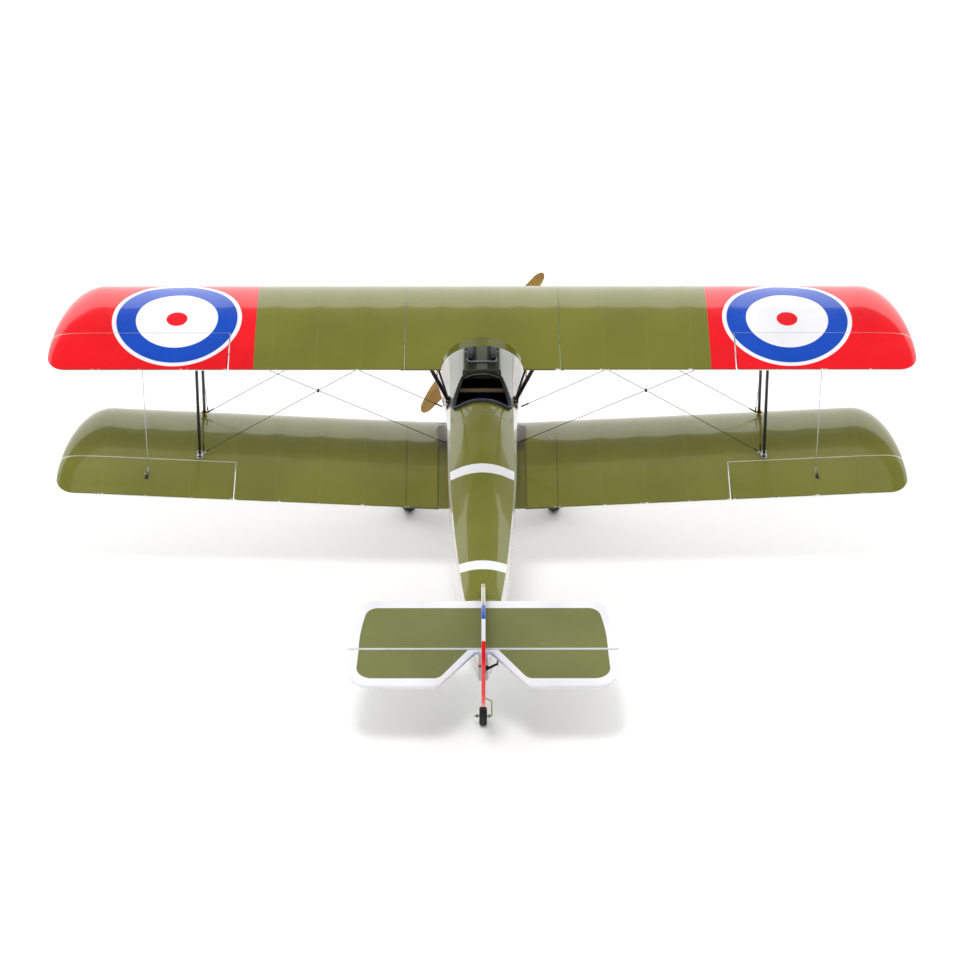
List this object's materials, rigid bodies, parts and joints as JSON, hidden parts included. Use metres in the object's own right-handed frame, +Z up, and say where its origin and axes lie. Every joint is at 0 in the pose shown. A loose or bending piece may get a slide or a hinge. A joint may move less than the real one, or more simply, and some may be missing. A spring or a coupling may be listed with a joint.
{
  "type": "radio controlled biplane",
  "caption": "Large radio-controlled biplane with two strut-braced wings, open cockpit, spoked-cover wheels, twin dummy guns and moving control surfaces.",
  "frame": {"origin": "on the ground, under the middle of the bounding box of the parked model", "axes": "+X towards the right wing tip, +Y towards the nose, +Z up; the aircraft is parked nose-up by 13.74 degrees about X"},
  "size_m": [2.1292, 1.4532, 0.6765],
  "materials": {
    "cream_film": "glossy cream film over a balsa and plywood frame",
    "cowl_paint": "glossy red paint",
    "black_metal": "satin black",
    "motor_metal": "machined",
    "black_plastic": "moulded",
    "battery_wrap": "shrink wrap",
    "plywood": "bare light plywood",
    "olive_film": "glossy olive film over ribs and sheeting",
    "red_film": "glossy red film",
    "rudder_film": "glossy film in blue, white and red upright bands",
    "black_strut": "satin black paint",
    "steel_wire": "drawn wire",
    "hatch_skin": "glossy film, dark green on the hump",
    "coaming_pad": "padded rim with a soft sheen",
    "gun_black": "dark gunmetal paint",
    "varnished_wood": "varnished laminated wood",
    "brass_wire": "drawn wire",
    "tyre_rubber": "black rubber",
    "wheel_cover": "cream cone covers"
  },
  "bodies": {
    "airframe": {"fuselage": "cream_film", "engine_cowl": "cowl_paint", "dummy_engine": "black_metal", "motor": "motor_metal", "speed_controller": "black_plastic", "battery_pack": "battery_wrap", "equipment_tray": "plywood", "receiver": "black_plastic", "fin": "olive_film", "tailplane": "olive_film", "upper_wing_centre": "olive_film", "upper_wing_left": "olive_film", "upper_wing_right": "olive_film", "lower_wing_left": "olive_film", "lower_wing_right": "olive_film", "cabane_left": "black_strut", "cabane_right": "black_strut", "interplane_strut_front_left": "black_strut", "interplane_strut_front_right": "black_strut", "interplane_strut_rear_left": "black_strut", "interplane_strut_rear_right": "black_strut", "bracing_front_left": "steel_wire", "bracing_front_right": "steel_wire", "bracing_rear_left": "steel_wire", "bracing_rear_right": "steel_wire", "undercarriage_left": "black_strut", "undercarriage_right": "black_strut", "axle": "black_strut", "aileron_servo_left": "black_plastic", "aileron_servo_right": "black_plastic", "elevator_servo": "black_plastic", "rudder_servo": "black_plastic"},
    "hatch": {"cockpit_hatch": "hatch_skin", "cockpit_coaming": "coaming_pad", "gun_left": "gun_black", "gun_right": "gun_black"},
    "propeller": {"propeller": "varnished_wood", "motor_can": "motor_metal"},
    "aileron_lower_left": {"aileron_lower_left": "olive_film"},
    "aileron_upper_left": {"aileron_upper_left": "red_film"},
    "aileron_link_left": {"aileron_link_left": "steel_wire"},
    "aileron_servo_arm_left": {"aileron_servo_arm_left": "black_plastic"},
    "aileron_pushrod_left": {"aileron_pushrod_left": "steel_wire"},
    "wheel_left": {"wheel_tyre_left": "tyre_rubber", "wheel_hub_left": "wheel_cover"},
    "aileron_lower_right": {"aileron_lower_right": "olive_film"},
    "aileron_upper_right": {"aileron_upper_right": "red_film"},
    "aileron_link_right": {"aileron_link_right": "steel_wire"},
    "aileron_servo_arm_right": {"aileron_servo_arm_right": "black_plastic"},
    "aileron_pushrod_right": {"aileron_pushrod_right": "steel_wire"},
    "wheel_right": {"wheel_tyre_right": "tyre_rubber", "wheel_hub_right": "wheel_cover"},
    "elevator": {"elevator": "olive_film"},
    "elevator_servo_arm": {"elevator_servo_arm": "black_plastic"},
    "elevator_pushrod": {"elevator_pushrod": "steel_wire"},
    "rudder": {"rudder": "rudder_film", "tailwheel_bracket": "brass_wire"},
    "rudder_servo_arm": {"rudder_servo_arm": "black_plastic"},
    "rudder_pushrod": {"rudder_pushrod": "steel_wire"},
    "tailwheel": {"tailwheel": "tyre_rubber"}
  },
  "joints": [
    {"name": "hatch_lift", "type": "slide", "parent": "airframe", "child": "hatch", "axis": [0, -0.2375, 0.9714], "range_m": [0, 0.08]},
    {"name": "propeller_spin", "type": "hinge", "parent": "airframe", "child": "propeller", "pos_m": [0, 0.6716, 0.42404], "axis": [0, 0.9714, 0.2375], "continuous": true},
    {"name": "aileron_left", "type": "hinge", "parent": "airframe", "child": "aileron_lower_left", "pos_m": [-0.83725, 0.25285, 0.29105], "axis": [-0.9983, -0.0138, 0.0566], "range_deg": [-25, 25]},
    {"name": "aileron_upper_left", "type": "hinge", "parent": "airframe", "child": "aileron_upper_left", "pos_m": [-0.84, 0.24905, 0.63499], "axis": [-1, 0, 0], "range_deg": [-25, 25]},
    {"name": "aileron_link_left", "type": "hinge", "parent": "aileron_lower_left", "child": "aileron_link_left", "pos_m": [-0.83343, 0.19728, 0.27414], "axis": [-1, 0, 0], "range_deg": [-28, 28]},
    {"name": "aileron_servo_left", "type": "hinge", "parent": "airframe", "child": "aileron_servo_arm_left", "pos_m": [-0.71825, 0.33439, 0.28974], "axis": [-0.9983, -0.0138, 0.0566], "range_deg": [-25, 25]},
    {"name": "aileron_pushrod_left", "type": "hinge", "parent": "aileron_servo_arm_left", "child": "aileron_pushrod_left", "pos_m": [-0.72023, 0.33857, 0.25582], "axis": [-0.9983, -0.0138, 0.0566], "range_deg": [-25, 25]},
    {"name": "wheel_spin_left", "type": "hinge", "parent": "airframe", "child": "wheel_left", "pos_m": [-0.19, 0.55829, 0.0875], "axis": [1, 0, 0], "continuous": true},
    {"name": "aileron_right", "type": "hinge", "parent": "airframe", "child": "aileron_lower_right", "pos_m": [0.83725, 0.25285, 0.29105], "axis": [-0.9983, 0.0138, -0.0566], "range_deg": [-25, 25]},
    {"name": "aileron_upper_right", "type": "hinge", "parent": "airframe", "child": "aileron_upper_right", "pos_m": [0.84, 0.24905, 0.63499], "axis": [-1, 0, 0], "range_deg": [-25, 25]},
    {"name": "aileron_link_right", "type": "hinge", "parent": "aileron_lower_right", "child": "aileron_link_right", "pos_m": [0.83343, 0.19728, 0.27414], "axis": [-1, 0, 0], "range_deg": [-28, 28]},
    {"name": "aileron_servo_right", "type": "hinge", "parent": "airframe", "child": "aileron_servo_arm_right", "pos_m": [0.71825, 0.33439, 0.28974], "axis": [-0.9983, 0.0138, -0.0566], "range_deg": [-25, 25]},
    {"name": "aileron_pushrod_right", "type": "hinge", "parent": "aileron_servo_arm_right", "child": "aileron_pushrod_right", "pos_m": [0.72023, 0.33857, 0.25582], "axis": [-0.9983, 0.0138, -0.0566], "range_deg": [-25, 25]},
    {"name": "wheel_spin_right", "type": "hinge", "parent": "airframe", "child": "wheel_right", "pos_m": [0.19, 0.55829, 0.0875], "axis": [1, 0, 0], "continuous": true},
    {"name": "elevator", "type": "hinge", "parent": "airframe", "child": "elevator", "pos_m": [0, -0.5723, 0.19797], "axis": [-1, 0, 0], "range_deg": [-25, 25]},
    {"name": "elevator_servo", "type": "hinge", "parent": "airframe", "child": "elevator_servo_arm", "pos_m": [-0.0465, -0.45475, 0.18878], "axis": [-1, 0, 0], "range_deg": [-25, 25]},
    {"name": "elevator_pushrod", "type": "hinge", "parent": "elevator_servo_arm", "child": "elevator_pushrod", "pos_m": [-0.0465, -0.4481, 0.16158], "axis": [-1, 0, 0], "range_deg": [-25, 25]},
    {"name": "rudder", "type": "hinge", "parent": "airframe", "child": "rudder", "pos_m": [0, -0.57804, 0.22143], "axis": [0, -0.2375, 0.9714], "range_deg": [-30, 30]},
    {"name": "rudder_servo", "type": "hinge", "parent": "airframe", "child": "rudder_servo_arm", "pos_m": [0.028, -0.37419, 0.19612], "axis": [0, -0.2375, 0.9714], "range_deg": [-30, 30]},
    {"name": "rudder_pushrod", "type": "hinge", "parent": "rudder_servo_arm", "child": "rudder_pushrod", "pos_m": [0.06, -0.37419, 0.19612], "axis": [0, -0.2375, 0.9714], "range_deg": [-30, 30]},
    {"name": "tailwheel_spin", "type": "hinge", "parent": "rudder", "child": "tailwheel", "pos_m": [0, -0.56851, 0.0225], "axis": [1, 0, 0], "continuous": true}
  ],
  "couplings": [
    {"joint": "aileron_upper_left", "follows": "aileron_left", "ratio": 1},
    {"joint": "aileron_link_left", "follows": "aileron_left", "ratio": -1.0841},
    {"joint": "aileron_servo_left", "follows": "aileron_left", "ratio": 1},
    {"joint": "aileron_pushrod_left", "follows": "aileron_left", "ratio": -1},
    {"joint": "aileron_upper_right", "follows": "aileron_right", "ratio": 1},
    {"joint": "aileron_link_right", "follows": "aileron_right", "ratio": -1.0841},
    {"joint": "aileron_servo_right", "follows": "aileron_right", "ratio": 1},
    {"joint": "aileron_pushrod_right", "follows": "aileron_right", "ratio": -1},
    {"joint": "elevator_servo", "follows": "elevator", "ratio": 1},
    {"joint": "elevator_pushrod", "follows": "elevator", "ratio": -1},
    {"joint": "rudder_servo", "follows": "rudder", "ratio": 1},
    {"joint": "rudder_pushrod", "follows": "rudder", "ratio": -1}
  ]
}
